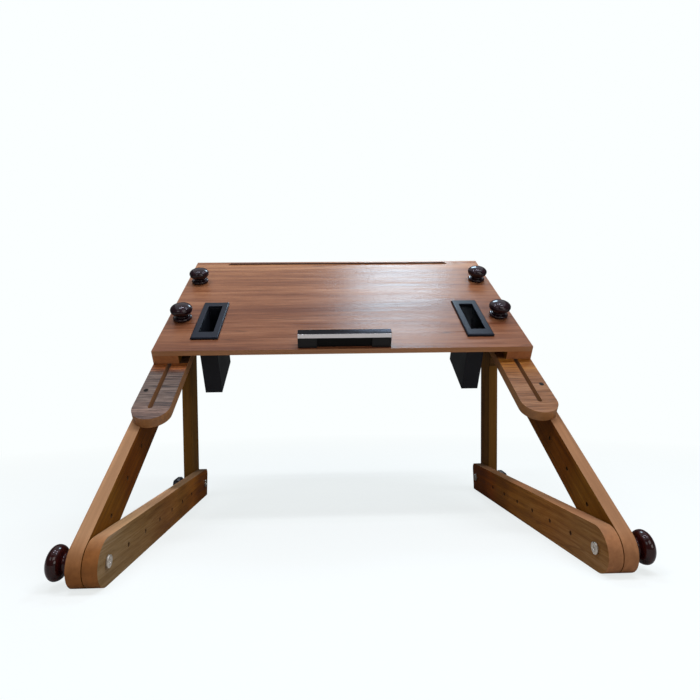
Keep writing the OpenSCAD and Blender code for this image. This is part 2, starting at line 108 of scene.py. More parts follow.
# the camera's place and its own right and up
CAMERA_PLACE = Vector((-0.03292, -0.82991, 0.20695))
CAMERA_RIGHT = Vector((0.99929, -0.03428, -0.01524))
CAMERA_UP = Vector((0.01070, -0.12873, 0.99163))

# mesh clean-up: points closer than this are one, bends below this are flat, and edges above this are eased
WELD = 0.002 * MM
NEARLY_FLAT = math.radians(0.6)
HARD_EDGE = math.radians(40)


def on_board(x, u, v=0.0):
    """A point given on the tabletop: across, up the slope from its front edge, and square to it."""
    return FRONT_EDGE + Vector((x, 0, 0)) + SLOPE * u + SQUARE * v


# ---- small helpers for node trees ----

class Graph:
    """Adds nodes to one tree and joins them."""

    def __init__(self, tree):
        self.tree = tree
        tree.nodes.clear()

    def feed(self, socket, value):
        if isinstance(value, bpy.types.Node):
            value = next(s for s in value.outputs if s.enabled)
        if isinstance(value, bpy.types.NodeSocket):
            self.tree.links.new(value, socket)
        elif value is not None:
            socket.default_value = value

    def add(self, kind, *values, named=None, **settings):
        node = self.tree.nodes.new(kind)
        for key, value in settings.items():
            setattr(node, key, value)
        for socket, value in zip(node.inputs, values):
            self.feed(socket, value)
        for key, value in (named or {}).items():
            self.feed(node.inputs[key], value)
        return node

    def math(self, operation, a, b=0.0, c=0.0):
        return self.add("ShaderNodeMath", a, b, c, operation=operation).outputs[0]

    def times(self, a, b):
        return self.math("MULTIPLY", a, b)

    def plus(self, a, b):
        return self.math("ADD", a, b)

    def minus(self, a, b):
        return self.math("SUBTRACT", a, b)

    def scale(self, vector, sizes):
        return self.add("ShaderNodeVectorMath", vector, sizes, operation="MULTIPLY").outputs[0]

    def shift(self, vector, step):
        return self.add("ShaderNodeVectorMath", vector, step, operation="ADD").outputs[0]

    def split(self, vector):
        return self.add("ShaderNodeSeparateXYZ", vector).outputs

    def join(self, x, y, z):
        return self.add("ShaderNodeCombineXYZ", x, y, z).outputs[0]

    def noise(self, vector, detail=2.0, roughness=0.5, distortion=0.0, scale=1.0):
        return self.add("ShaderNodeTexNoise", named={
            "Vector": vector, "Scale": scale, "Detail": detail,
            "Roughness": roughness, "Distortion": distortion,
        }).outputs[0]

    def remap(self, value, low, high, to_low=0.0, to_high=1.0):
        return self.add("ShaderNodeMapRange", value, low, high, to_low, to_high).outputs[0]

    def mix(self, factor, a, b, blend="MIX"):
        node = self.add("ShaderNodeMix", data_type="RGBA", blend_type=blend)
        self.feed(node.inputs[0], factor)
        self.feed(node.inputs[6], a)
        self.feed(node.inputs[7], b)
        return node.outputs[2]

    def ramp(self, value, stops):
        node = self.add("ShaderNodeValToRGB", value)
        ramp = node.color_ramp
        while len(ramp.elements) < len(stops):
            ramp.elements.new(0.5)
        for element, (place, colour) in zip(ramp.elements, stops):
            element.position = place
            element.color = rgba(colour)
        return node.outputs[0]

    def bump(self, height, strength, distance):
        return self.add("ShaderNodeBump", named={
            "Strength": strength, "Distance": distance, "Height": height,
        }).outputs[0]


def rgba(colour, gain=1.0):
    """A colour with its gain, and an alpha of 1."""
    return (colour[0] * gain, colour[1] * gain, colour[2] * gain, 1.0)


def new_look(name):
    """A new material and its graph."""
    look = bpy.data.materials.new(name)
    look.use_nodes = True
    return look, Graph(look.node_tree)


def shade(graph, values):
    """Ends a material: its shader, with its inputs by name, and its output."""
    graph.add("ShaderNodeOutputMaterial", graph.add("ShaderNodeBsdfPrincipled", named=values))


def object_place(graph, turn=0.0, centre=(0, 0, 0)):
    """Object coordinates about a centre, turned about X so that a sloping piece lies level."""
    place = graph.add("ShaderNodeTexCoord").outputs["Object"]
    place = graph.shift(place, tuple(-c for c in centre))
    return graph.add("ShaderNodeMapping", named={"Vector": place, "Rotation": (-turn, 0, 0)}).outputs[0]


# ---- finishes ----

def facing(graph, direction):
    """How squarely the surface faces a direction in the piece's own axes, from -1 to 1."""
    normal = graph.add("ShaderNodeTexCoord").outputs["Normal"]
    return graph.add("ShaderNodeVectorMath", normal, direction, operation="DOT_PRODUCT").outputs["Value"]


def drilled(graph, parts, turn):
    """1 in the row of adjusting holes of a bar that runs from the front pivot, 0 away from them."""
    along = FRONT_PIVOT.y * math.cos(turn) + FRONT_PIVOT.z * math.sin(turn) + FIRST_HOLE
    level = FRONT_PIVOT.z * math.cos(turn) - FRONT_PIVOT.y * math.sin(turn)
    run = graph.minus(parts[1], along)
    step = graph.math("ROUND", graph.math("DIVIDE", run, HOLE_PITCH))
    step = graph.math("MINIMUM", graph.math("MAXIMUM", step, 0.0), HOLES - 1.0)
    run = graph.minus(run, graph.times(step, HOLE_PITCH))
    rise = graph.minus(parts[2], level)
    away = graph.plus(graph.times(run, run), graph.times(rise, rise))
    return graph.remap(graph.math("SQRT", away), HOLE_R, HOLE_RIM_R, 1.0, 0.0)


def graded(graph, parts, tone, painted_light):
    """The tone with its gain changed along one axis, to paint light and shade. The gains are (axis, (place,
    gain), (place, gain), ...).
    """
    axis, *stops = painted_light
    gain = rgba(stops[0][1])
    for (start, _), (end, last) in zip(stops, stops[1:]):
        gain = graph.mix(graph.remap(parts[axis], start, end), gain, rgba(last))
    return graph.mix(1.0, tone, gain, "MULTIPLY")


def grain_place(graph, parts, order):
    """The place with its grain along the first axis of order, swayed a little to one side."""
    local = graph.join(*[parts[axis] for axis in order])
    sway = graph.minus(graph.noise(graph.scale(local, (2.6, 11, 11)), 1.0), 0.5)
    return graph.shift(local, graph.join(0.0, graph.times(sway, 0.022), 0.0))


def grain(graph, local, tones, figure, crisp, spread):
    """The tone of the grain with its veins and pores, and the streaks, fibres and pores on their own."""
    dark, mid, light = tones
    flame = graph.noise(graph.scale(local, (1.7 * figure, 24 * figure, 24)), 2.0, 0.55)
    streak = graph.noise(graph.scale(local, (5.5 * figure, 130 * figure, 130)), 3.0, 0.6)
    fibre = graph.noise(graph.scale(local, (24, 640, 640)), 2.0, 0.6)
    value = graph.plus(graph.times(flame, 0.42 - crisp), graph.times(streak, 0.36))
    value = graph.plus(value, graph.times(fibre, 0.22 + crisp))
    tone = graph.ramp(value, [(0.5 - spread, dark), (0.5, mid), (0.5 + spread, light)])
    vein = graph.noise(graph.scale(local, (2.2 * figure, 62 * figure, 62)), 1.0)
    vein = graph.remap(graph.math("ABSOLUTE", graph.minus(vein, 0.53)), 0.003, 0.011, 0.55, 0.0)
    vein = graph.times(vein, graph.remap(flame, 0.42, 0.60))
    tone = graph.mix(vein, tone, rgba(dark, 0.5))
    pores = graph.remap(graph.noise(graph.scale(local, (95, 1500, 1500)), 1.0), 0.60, 0.70)
    tone = graph.mix(graph.times(pores, 0.35), tone, rgba(dark, 0.55))
    return tone, streak, fibre, pores


def wood(name, tones, edge, order, turn, face, gloss, shine=0.5, figure=1.0, relief=1.0,
         painted_light=None, edge_painted_light=None, crisp=0.0, spread=0.10, hole_shade=False):
    """Varnished wood: grained where it faces the face axis, either way, and lipped elsewhere.

    Gains along the piece paint light and shade into the tone of the faces and of the lipping. The crisp share
    moves contrast from the broad figure to the fibres, a narrow spread sharpens the grain, and the hole
    switch paints shade into the adjusting holes."""
    look, graph = new_look(name)
    parts = graph.split(object_place(graph, turn))
    local = grain_place(graph, parts, order)
    grained, streak, fibre, pores = grain(graph, local, tones, figure, crisp, spread)
    if painted_light:
        grained = graded(graph, parts, grained, painted_light)
    lipping = graph.mix(graph.remap(streak, 0.35, 0.65), rgba(edge, 0.86), rgba(edge, 1.12))
    if edge_painted_light:
        lipping = graded(graph, parts, lipping, edge_painted_light)
    on_face = graph.remap(graph.math("ABSOLUTE", facing(graph, face)), 0.80, 0.93)
    tone = graph.mix(on_face, lipping, grained)
    # painted shade in the adjusting holes and round their rims
    if hole_shade:
        tone = graph.mix(drilled(graph, parts, turn), tone, rgba(tones[0], 0.2))
    height = graph.minus(graph.plus(fibre, graph.times(streak, 1.6)), pores)
    shade(graph, {
        "Base Color": tone,
        "Roughness": graph.remap(streak, 0.3, 0.7, gloss - 0.06, gloss + 0.08),
        "Normal": graph.bump(height, 0.35 * relief, 0.0002),
        "Specular IOR Level": shine,
    })
    return look


def turned_wood(name, colour):
    """Dark stained wood under a thick gloss lacquer."""
    look, graph = new_look(name)
    place = object_place(graph)
    rings = graph.noise(graph.scale(place, (260, 260, 34)), 3.0, 0.6, 0.4)
    ripple = graph.noise(graph.scale(place, (120, 120, 120)), 2.0)
    dark = tuple(c * 0.45 for c in colour)
    light = tuple(c * 1.9 for c in colour)
    shade(graph, {
        "Base Color": graph.ramp(rings, [(0.30, dark), (0.55, colour), (0.75, light)]),
        "Roughness": graph.remap(rings, 0.3, 0.7, 0.30, 0.42),
        "Normal": graph.bump(ripple, 0.22, 0.0006),
        "Specular IOR Level": 0.06,
        "Coat Weight": 0.7,
        "Coat Roughness": 0.05,
        "Coat Tint": (0.68, 0.75, 1.0, 1.0),
    })
    return look


def plastic(name, colour, gloss, cells, depth, shine=0.5, tint=(1.0, 1.0, 1.0), shaded_recess=None):
    """Moulded plastic with a fine spark-eroded grain, and painted shade, near black, in a recess of the given
    half width.
    """
    look, graph = new_look(name)
    place = object_place(graph)
    eroded = graph.noise(place, 2.0, 0.6, scale=cells)
    cloud = graph.noise(place, 2.0, scale=26.0)
    tone = graph.mix(cloud, rgba(colour, 0.8), rgba(colour, 1.3))
    rough = graph.remap(cloud, 0.3, 0.7, gloss - 0.04, gloss + 0.05)
    # painted shade: the recess near black, as the shade under the stopper's strip
    if shaded_recess:
        across = graph.math("ABSOLUTE", graph.split(place)[0])
        inside = graph.math("LESS_THAN", across, shaded_recess)
        tone = graph.mix(inside, tone, rgba(colour, 0.1))
        rough = graph.plus(rough, graph.times(inside, 0.4))
    shade(graph, {
        "Base Color": tone,
        "Roughness": rough,
        "Normal": graph.bump(eroded, 0.35, depth),
        "Specular Tint": rgba(tint),
        "Specular IOR Level": shine,
    })
    return look


def metal(name, colour, gloss, scales, turn=0.0, painted_reflection=None):
    """Plated or machined metal with marks of the given scales, and a painted dark reflection, streaked, where
    it faces square off the board.
    """
    look, graph = new_look(name)
    place = object_place(graph, turn)
    marks = graph.noise(graph.scale(place, scales), 3.0, 0.6)
    smear = graph.noise(graph.scale(place, (9.0, 60.0, 60.0)), 2.0)
    tone = graph.mix(marks, rgba(colour, 0.86), rgba(colour, 1.06))
    # painted reflection: a dark tone on faces square off the board
    if painted_reflection:
        reflected_tone = graph.mix(graph.remap(smear, 0.42, 0.66), rgba(painted_reflection), rgba(painted_reflection, 2.2))
        tone = graph.mix(graph.remap(facing(graph, tuple(SQUARE)), 0.80, 0.97), tone, reflected_tone)
    fine = graph.remap(marks, 0.3, 0.7, gloss * 0.7, gloss * 1.3)
    broad = graph.remap(smear, 0.45, 0.8, 0.0, gloss * 0.8)
    shade(graph, {
        "Base Color": tone,
        "Roughness": graph.plus(fine, broad),
        "Normal": graph.bump(marks, 0.15, 0.00004),
        "Metallic": 1.0,
    })
    return look


def braid(name, colour):
    """Braided elastic: two families of strands wound opposite ways round the cord, which runs along X."""
    look, graph = new_look(name)
    middle = tuple(on_board(0.0, CORD_U, CORD_LIE))
    along, over, up = graph.split(object_place(graph, TILT, middle))
    angle = graph.math("ARCTAN2", over, up)
    run = graph.times(along, 2600.0)
    wound = [graph.math("SINE", graph.plus(run, graph.times(angle, turns))) for turns in (6.0, -6.0)]
    strands = graph.math("MAXIMUM", *wound)
    tone = graph.remap(strands, -0.2, 1.0)
    shade(graph, {
        "Base Color": graph.mix(tone, rgba(colour, 0.45), rgba(colour, 1.3)),
        "Normal": graph.bump(strands, 0.6, 0.0002),
        "Roughness": 0.82,
        "Sheen Weight": 0.25,
    })
    return look


LOOKS = {}
PLAIN = (1.0, 1.0, 1.0)
ACROSS = (1.0, 0.0, 0.0)


def flat_looks(colours):
    """Finishes of the tabletop and the slotted plates, with painted light and shade up the slope."""
    board = (colours.board_dark, colours.board_mid, colours.board_light)
    # the left plate's tones, greyer and darker than the right plate's: wear, and a painted cool sheen
    wear_and_sheen = (colours.wear_and_sheen_dark, colours.wear_and_sheen_mid, colours.wear_and_sheen_light)
    warm = (colours.warm_dark, colours.warm_mid, colours.warm_light)
    # gains up the tabletop: paler and bluer towards the rear as a painted sheen
    board_painted_sheen = (1, (0.17, (1.03, 1.08, 1.20)), (0.26, (1.12, 1.20, 1.38)), (0.36, (1.35, 1.55, 1.80)),
                   (0.47, (1.65, 2.05, 2.40)))
    # gains up the left plate: lighter towards its tip as painted light, a painted warm reflection of the rail
    # beside the board, then painted shade under the board
    left_plate_painted_light = (1, (0.02, (1.35, 1.25, 1.25)), (0.05, (1.05, 1.1, 1.15)), (0.112, (0.95, 1.0, 1.05)),
                  (0.124, (1.9, 0.9, 0.28)), (0.137, (2.2, 1.05, 0.3)), (0.141, (0.6, 0.45, 0.3)),
                  (0.160, (0.7, 0.6, 0.5)), (0.190, PLAIN))
    # gains up the right plate: a painted warm reflection of the rail beside the board, then painted shade
    # under the board
    right_plate_painted_light = (1, (0.085, PLAIN), (0.120, (1.15, 0.98, 0.34)), (0.137, (1.3, 1.05, 0.35)),
                   (0.141, (0.6, 0.5, 0.35)), (0.160, (0.7, 0.6, 0.5)), (0.190, PLAIN))
    lie = {"order": (0, 1, 2), "turn": TILT, "face": tuple(SQUARE)}
    return {
        "board": wood("varnished_teak_veneer", board, colours.board_edge, **lie, gloss=0.32, shine=0.30,
                      figure=0.8, relief=0.5, painted_light=board_painted_sheen),
        "plate_left": wood("cross_grain_plate_left", wear_and_sheen, colours.plate_edge, **lie, gloss=0.36, shine=0.4,
                           figure=3.0, relief=2.4, painted_light=left_plate_painted_light, crisp=0.24, spread=0.07),
        "plate_right": wood("cross_grain_plate_right", warm, colours.plate_edge, **lie, gloss=0.36, shine=0.3,
                            figure=2.3, relief=1.6, painted_light=right_plate_painted_light, crisp=0.16, spread=0.08),
    }


def bar_looks(colours):
    """Finishes of the rails, rear legs, long bars and base bars, with light and shade painted along the bars
    and on the legs' edges.
    """
    bars = (colours.bar_dark, colours.bar_mid, colours.bar_light)
    # the rear legs' narrow edges, darker and more saturated as painted shade of the tabletop
    shaded = (0.175, 0.080, 0.016)
    looks = {
        "rail": wood("oiled_teak_rail", bars, colours.rail, (1, 0, 2), TILT, ACROSS, gloss=0.5, shine=0.15),
        "leg": wood("varnished_rear_leg", bars, shaded, (2, 1, 0), LEG_LEAN, ACROSS, gloss=0.5, shine=0.05),
    }
    # for each side: gains of the lipping at the nose and on top, which paint light and shade that differ by
    # side, then (place, gain) along the base bar's face and along its top, which paint light and a pale sheen
    # at the front and the tabletop's shadow towards the rear
    sides = {
        "left": ((0.66, 0.50, 0.33), (1.06, 1.12, 1.26), (
            (-0.22, (1.33, 2.10, 9.0)), (-0.12, (1.39, 1.95, 6.5)), (-0.04, (1.25, 1.33, 3.2)),
            (0.04, (1.60, 1.57, 2.3)), (0.12, (2.20, 1.67, 1.55)), (0.165, (1.25, 0.82, 0.40))), (
            (-0.16, (1.20, 1.45, 1.60)), (-0.12, (1.60, 1.90, 2.25)), (0.005, (1.70, 1.90, 2.30)),
            (0.035, (0.96, 1.10, 1.20)), (0.12, (0.80, 0.82, 0.92)), (0.16, (0.58, 0.62, 0.65)))),
        "right": ((0.85, 0.75, 0.74), (0.80, 0.79, 0.86), (
            (-0.22, (1.50, 1.80, 5.2)), (-0.12, (1.60, 1.55, 2.7)), (-0.04, (1.60, 1.55, 2.3)),
            (0.08, (2.25, 1.95, 2.2)), (0.12, (2.60, 1.65, 1.4)), (0.165, (1.40, 0.82, 0.45))), (
            (-0.20, (0.94, 0.87, 0.97)), (-0.16, (1.28, 1.22, 1.25)), (-0.08, (1.32, 1.33, 1.40)),
            (0.0, (1.15, 1.00, 0.98)), (0.04, (0.72, 0.69, 0.68)), (0.15, (0.62, 0.58, 0.58)))),
    }
    bar = {"tones": bars, "edge": colours.lipping, "order": (1, 2, 0), "face": ACROSS, "gloss": 0.5}
    for side, (nose, top, faces, ridge) in sides.items():
        # the top's rear end at 0.4 of the top's gain: painted shade of the leg
        shaded_end = tuple(0.4 * gain for gain in top)
        looks[f"long_bar_{side}"] = wood(
            f"varnished_long_bar_{side}", **bar, turn=TILT, shine=0.05, hole_shade=True,
            # the face darker up the bar as painted shade of the tabletop, and the lipping with painted light
            # and shade from nose to top
            painted_light=(1, (NOSE_ALONG + 0.105, PLAIN), (NOSE_ALONG + 0.145, (0.78, 0.58, 0.50))),
            edge_painted_light=(1, (NOSE_ALONG, nose), (NOSE_ALONG + 0.040, top)))
        looks[f"base_bar_{side}"] = wood(
            f"varnished_base_bar_{side}", **bar, turn=0.0, shine=0.06, hole_shade=True,
            painted_light=(1, *faces), edge_painted_light=(1, (-0.262, nose), (-0.235, top), *ridge, (0.20, shaded_end)))
    return looks


def small_looks(colours):
    """Finishes of the knobs, the plastics, the metals and the cord."""
    return {
        "knob": turned_wood("lacquered_mahogany", colours.knob),
        "foot_knob": turned_wood("lacquered_red_mahogany", colours.foot_knob),
        "pocket_frame": plastic("satin_pocket_plastic", colours.pocket, 0.40, 900.0, 0.00003, 0.22,
                                tint=(0.62, 0.72, 1.0)),
        "pocket_box": plastic("grained_pocket_plastic", colours.pocket, 0.45, 1500.0, 0.00008, 0.26),
        # the web between the stopper's feet carries painted shade
        "stopper": plastic("satin_stopper_plastic", colours.stopper, 0.40, 1200.0, 0.00005, 0.24,
                           shaded_recess=STOPPER_WEB),
        "small_knob": plastic("moulded_knob_plastic", colours.pocket, 0.4, 1300.0, 0.00008),
        "chrome": metal("polished_chrome_strip", colours.chrome, 0.10, (40, 900, 900), TILT, colours.strip_reflection),
        "bronze": metal("bronzed_hinge_steel", colours.bronze, 0.5, (300, 300, 300)),
        "zinc": metal("zinc_plated_steel", colours.zinc, 0.30, (300, 300, 300)),
        "dark_steel": metal("blackened_screw_steel", colours.dark_steel, 0.4, (500, 500, 500)),
        "brass": metal("machined_brass", colours.brass, 0.24, (60, 700, 700)),
        "cord": braid("braided_elastic", colours.cord),
    }


def make_looks(colours):
    """All the finishes of the table, from its colours."""
    for group in (flat_looks, bar_looks, small_looks):
        LOOKS.update(group(colours))


# ---- meshes ----

def linked(name, data):
    """A new object of the scene that holds the data."""
    piece = bpy.data.objects.new(name, data)
    bpy.context.scene.collection.objects.link(piece)
    return piece


def finished(name, mesh, look):
    """A mesh as an object of the scene, with one finish."""
    piece = linked(name, mesh)
    mesh.materials.clear()
    mesh.materials.append(look)
    return piece


def smooth_by_angle(mesh, degrees=35.0, flat_from=0.00015):
    """Shades smooth, apart from edges sharper than the angle and faces above flat_from, in square metres."""
    shape = bmesh.new()
    shape.from_mesh(mesh)
    limit = math.radians(degrees)
    for face in shape.faces:
        face.smooth = face.calc_area() < flat_from
    for edge in shape.edges:
        edge.smooth = len(edge.link_faces) == 2 and edge.calc_face_angle(0.0) < limit
    shape.to_mesh(mesh)
    shape.free()


def plain_mesh(piece, name, look):
    """The piece with its modifiers applied, as a plain mesh in a new object."""
    bpy.context.view_layer.update()
    graph = bpy.context.evaluated_depsgraph_get()
    result = piece.evaluated_get(graph)
    mesh = bpy.data.meshes.new_from_object(result, preserve_all_data_layers=True, depsgraph=graph)
    bpy.data.objects.remove(piece)
    mesh.name = name
    for face in mesh.polygons:
        face.material_index = 0
    return finished(name, mesh, look)


def settle(piece, body, slot, *nodes):
    """The piece moves with the body and stands for the CAD nodes, which it hides. The slot is not used."""
    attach(piece, body)
    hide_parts(*nodes)


def eased_copy(node, name, look, ease, body, slot, steps=3):
    """A copy of a CAD node, which it stands for, with its hard edges rounded by the ease, in millimetres."""
    shape = bmesh.new()
    shape.from_mesh(frame["nodes"][node].data)
    bmesh.ops.remove_doubles(shape, verts=shape.verts, dist=WELD)
    bmesh.ops.dissolve_limit(shape, angle_limit=NEARLY_FLAT, verts=shape.verts, edges=shape.edges)
    mesh = bpy.data.meshes.new(name)
    shape.to_mesh(mesh)
    shape.free()
    piece = finished(name + "_raw", mesh, LOOKS[look])
    bevel = piece.modifiers.new("eased_edges", "BEVEL")
    bevel.width = ease * MM
    bevel.segments = steps
    bevel.limit_method = "ANGLE"
    bevel.angle_limit = HARD_EDGE
    bevel.use_clamp_overlap = True
    bevel.miter_outer = "MITER_ARC"
    piece = plain_mesh(piece, name, LOOKS[look])
    smooth_by_angle(piece.data)
    settle(piece, body, slot, node)


def dress(look, *nodes):
    """A CAD node that stays as it is gets its finish."""
    for node in nodes:
        for place in frame["nodes"][node].material_slots:
            place.material = LOOKS[look]


# ---- geometry node trees ----

def tree_with(name, inputs):
    """A new geometry node tree with its graph, what it is given, by name, and its group output."""
    tree = bpy.data.node_groups.new(name, "GeometryNodeTree")
    face = tree.interface
    face.new_socket("Geometry", in_out="OUTPUT", socket_type="NodeSocketGeometry")
    face.new_socket("Geometry", in_out="INPUT", socket_type="NodeSocketGeometry")
    for label, kind, default in (*inputs, ("Finish", "Material", None)):
        socket = face.new_socket(label, in_out="INPUT", socket_type="NodeSocket" + kind)
        if default is not None:
            socket.default_value = default
    graph = Graph(tree)
    return tree, graph, graph.add("NodeGroupInput").outputs, graph.add("NodeGroupOutput")


def run_tree(tree, carrier, name, look, values):
    """The piece that the tree makes on the carrier, in one finish, with its inputs set by name."""
    modifier = carrier.modifiers.new(tree.name, "NODES")
    modifier.node_group = tree
    values["Finish"] = look
    for item in tree.interface.items_tree:
        if item.item_type == "SOCKET" and item.in_out == "INPUT" and item.name in values:
            modifier[item.identifier] = values[item.name]
    return plain_mesh(carrier, name, look)


def deliver(graph, given, result, shape):
    """Ends a tree: the shape as real geometry, with the finish that the tree is given."""
    whole = graph.add("GeometryNodeRealizeInstances", shape)
    graph.feed(result.inputs[0], graph.add("GeometryNodeSetMaterial", named={
        "Geometry": whole, "Material": given["Finish"]}))


def points_object(name, places):
    """Loose points, as an object that carries a tree."""
    mesh = bpy.data.meshes.new(name)
    mesh.from_pydata([tuple(place) for place in places], [], [])
    return linked(name, mesh)


def outline_object(name, points):
    """An open poly curve through points, as an object that carries a tree."""
    curve = bpy.data.curves.new(name, "CURVE")
    curve.dimensions = "3D"
    spline = curve.splines.new("POLY")
    spline.points.add(len(points) - 1)
    for place, point in zip(spline.points, points):
        place.co = (*point, 1.0)
    return linked(name, curve)


def lathe_tree():
    """Turns a profile, with its radius along X and its height along Z, about Z, and sets it in its place."""
    tree, graph, given, result = tree_with("turned_profile", [
        ("Steps Round", "Int", 96), ("Steps Along", "Int", 200),
        ("Place", "Vector", None), ("Turn", "Vector", None)])
    grid = graph.add("GeometryNodeMeshGrid", 1.0, 1.0, given["Steps Round"], given["Steps Along"])
    parts = graph.split(graph.add("GeometryNodeInputPosition"))
    angle = graph.times(graph.plus(parts[0], 0.5), math.tau)
    share = graph.plus(parts[1], 0.5)
    sample = graph.add("GeometryNodeSampleCurve", named={"Curves": given["Geometry"], "Factor": share})
    radius, _, height = graph.split(sample.outputs["Position"])
    spun = graph.join(graph.times(radius, graph.math("COSINE", angle)),
                      graph.times(radius, graph.math("SINE", angle)), height)
    turned = graph.add("GeometryNodeSetPosition", named={"Geometry": grid, "Position": spun})
    closed = graph.add("GeometryNodeMergeByDistance", named={"Geometry": turned, "Distance": WELD})
    placed = graph.add("GeometryNodeTransform", named={
        "Geometry": closed, "Translation": given["Place"], "Rotation": given["Turn"]})
    deliver(graph, given, result, placed)
    return tree


def screw_tree():
    """A countersunk screw with a cross recess, set on every point and turned one way."""
    tree, graph, given, result = tree_with("countersunk_screws", [
        ("Length", "Float", 0.02), ("Shank", "Float", 0.0018), ("Head", "Float", 0.0036),
        ("Sink", "Float", 0.0022), ("Turn", "Vector", None)])
    length, shank, head, sink = (given[key] for key in ("Length", "Shank", "Head", "Sink"))
    cone = graph.add("GeometryNodeMeshCone", named={
        "Vertices": 28, "Radius Top": head, "Radius Bottom": shank, "Depth": sink})
    sunk = graph.join(0.0, 0.0, graph.times(sink, -1.0))
    cone = graph.add("GeometryNodeTransform", named={"Geometry": cone.outputs["Mesh"], "Translation": sunk})
    wide = graph.times(head, 1.15)
    thin = graph.times(head, 0.26)
    deep = graph.times(sink, 1.1)
    cut = graph.add("GeometryNodeMeshBoolean", operation="DIFFERENCE", solver="EXACT")
    graph.feed(cut.inputs["Mesh 1"], cone)
    for sizes in ((wide, thin, deep), (thin, wide, deep)):
        arm = graph.add("GeometryNodeMeshCube", named={"Size": graph.join(*sizes)})
        graph.tree.links.new(arm.outputs["Mesh"], cut.inputs["Mesh 2"])
    below_head = graph.times(sink, 1.9)
    stem = graph.add("GeometryNodeMeshCylinder", named={
        "Vertices": 16, "Radius": graph.times(shank, 0.98), "Depth": graph.minus(length, below_head)})
    middle = graph.join(0.0, 0.0, graph.times(graph.plus(length, below_head), -0.5))
    stem = graph.add("GeometryNodeTransform", named={"Geometry": stem.outputs["Mesh"], "Translation": middle})
    screw = graph.add("GeometryNodeJoinGeometry")
    graph.tree.links.new(cut.outputs["Mesh"], screw.inputs[0])
    graph.tree.links.new(stem.outputs["Geometry"], screw.inputs[0])
    spread = graph.add("GeometryNodeInstanceOnPoints", named={
        "Points": given["Geometry"], "Instance": screw, "Rotation": given["Turn"]})
    deliver(graph, given, result, spread)
    return tree


def cord_tree():
    """A round cord along a curve, with its ends closed."""
    tree, graph, given, result = tree_with("round_cord", [("Radius", "Float", 0.0015), ("Sides", "Int", 16)])
    ring = graph.add("GeometryNodeCurvePrimitiveCircle", named={
        "Resolution": given["Sides"], "Radius": given["Radius"]})
    tube = graph.add("GeometryNodeCurveToMesh", named={
        "Curve": given["Geometry"], "Profile Curve": ring.outputs["Curve"], "Fill Caps": True})
    deliver(graph, given, result, tube)
    return tree


def close_up(mesh, degrees):
    """Joins doubled points, faces every face outwards and shades the mesh smooth by the angle."""
    shape = bmesh.new()
    shape.from_mesh(mesh)
    bmesh.ops.remove_doubles(shape, verts=shape.verts, dist=WELD / 2)
    bmesh.ops.recalc_face_normals(shape, faces=shape.faces)
    shape.to_mesh(mesh)
    shape.free()
    smooth_by_angle(mesh, degrees)


# ---- sizes and colours that a user would change ----

def amount(label, words, value, low, high, kind="NONE"):
    """A number in the sidebar, with its limits and its kind of measure."""
    return bpy.props.FloatProperty(name=label, description=words, subtype=kind,
                                   min=low, max=high, default=value)


def colour(label, words, value):
    """A colour in the sidebar."""
    return bpy.props.FloatVectorProperty(name=label, description=words, subtype="COLOR", size=3,
                                         min=0.0, max=1.0, default=value)


class LaptopTableSizes(bpy.types.PropertyGroup):
    """Sizes that the CAD model leaves open, in millimetres"""
    board_ease: amount("Board ease", "Rounding of the tabletop's edges, mm", 0.9, 0.2, 3.0)
    bar_ease: amount("Bar ease", "Rounding of the edges of bars, legs and plates, mm", 0.8, 0.2, 3.0)
    plastic_ease: amount("Plastic ease", "Rounding of moulded edges, mm", 0.6, 0.1, 2.0)
    metal_ease: amount("Metal ease", "Rounding of bolt heads and strips, mm", 0.35, 0.1, 1.0)
    cord_width: amount("Cord width", "Diameter of the elastic cord, mm", 3.0, 2.0, 4.0)


